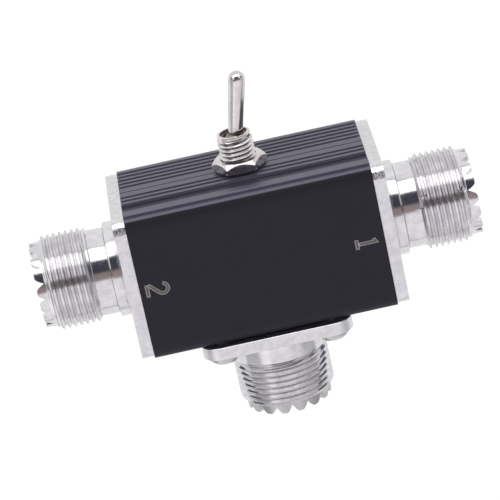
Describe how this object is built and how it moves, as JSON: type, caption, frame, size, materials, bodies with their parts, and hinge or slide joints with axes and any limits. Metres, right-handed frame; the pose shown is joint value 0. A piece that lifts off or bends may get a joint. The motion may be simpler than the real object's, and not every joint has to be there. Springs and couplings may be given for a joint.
{
  "type": "coaxial antenna switch",
  "caption": "Ribbed aluminium box with threaded coaxial sockets on both ends and below and a miniature toggle lever on top that selects the left or right socket.",
  "frame": {"origin": "centre of the shell's flat back face, on which the switch lies", "axes": "+X along antenna socket 1, +Y along the toggle, -Y along the transmitter socket, +Z out of the labelled front face"},
  "size_m": [0.0734, 0.0581, 0.0254],
  "materials": {
    "shell_anodised": "dark blue-black label film on a satin extrusion",
    "plate_metal": "satin",
    "screw_steel": "zinc plated",
    "socket_nickel": "bright nickel plate on brass",
    "toggle_nickel": "bright nickel plate on brass",
    "insulator_white": "smooth fluoropolymer",
    "contact_silver": "silver plated",
    "plunger_plastic": "moulded",
    "case_plastic": "moulded",
    "wire_copper": "tinned copper"
  },
  "bodies": {
    "housing": {"shell": "shell_anodised", "ant1_end_plate": "plate_metal", "ant2_end_plate": "plate_metal", "ant1_plate_screws": "screw_steel", "ant2_plate_screws": "screw_steel", "ant1_socket_body": "socket_nickel", "ant2_socket_body": "socket_nickel", "tx_socket_body": "socket_nickel", "ant1_insulator": "insulator_white", "ant2_insulator": "insulator_white", "tx_insulator": "insulator_white", "ant1_centre_contact": "contact_silver", "ant2_centre_contact": "contact_silver", "tx_centre_contact": "contact_silver", "ant1_lock_washer": "screw_steel", "ant2_lock_washer": "screw_steel", "ant1_rear_nut": "socket_nickel", "ant2_rear_nut": "socket_nickel", "tx_flange_screws": "screw_steel", "toggle_bushing": "toggle_nickel", "toggle_nut": "toggle_nickel", "toggle_washer": "screw_steel", "toggle_lock_washer": "screw_steel", "toggle_keyed_washer": "screw_steel", "switch_frame": "screw_steel", "switch_case": "case_plastic", "common_terminal": "contact_silver", "ant1_terminal": "contact_silver", "ant2_terminal": "contact_silver", "ant1_wire": "wire_copper", "ant2_wire": "wire_copper", "tx_wire": "wire_copper"},
    "lever": {"toggle_lever": "toggle_nickel", "plunger": "plunger_plastic", "plunger_spring": "screw_steel"},
    "rocker": {"rocker_contact": "contact_silver"}
  },
  "joints": [
    {"name": "toggle_lever", "type": "hinge", "parent": "housing", "child": "lever", "pos_m": [0, 0.0169, 0.0127], "axis": [0, 0, 1], "range_deg": [0, 25]},
    {"name": "rocker_tilt", "type": "hinge", "parent": "housing", "child": "rocker", "pos_m": [0, 0.00438, 0.0127], "axis": [0, 0, 1], "range_deg": [-20, 0]}
  ],
  "couplings": [
    {"joint": "rocker_tilt", "follows": "toggle_lever", "ratio": -0.8}
  ]
}
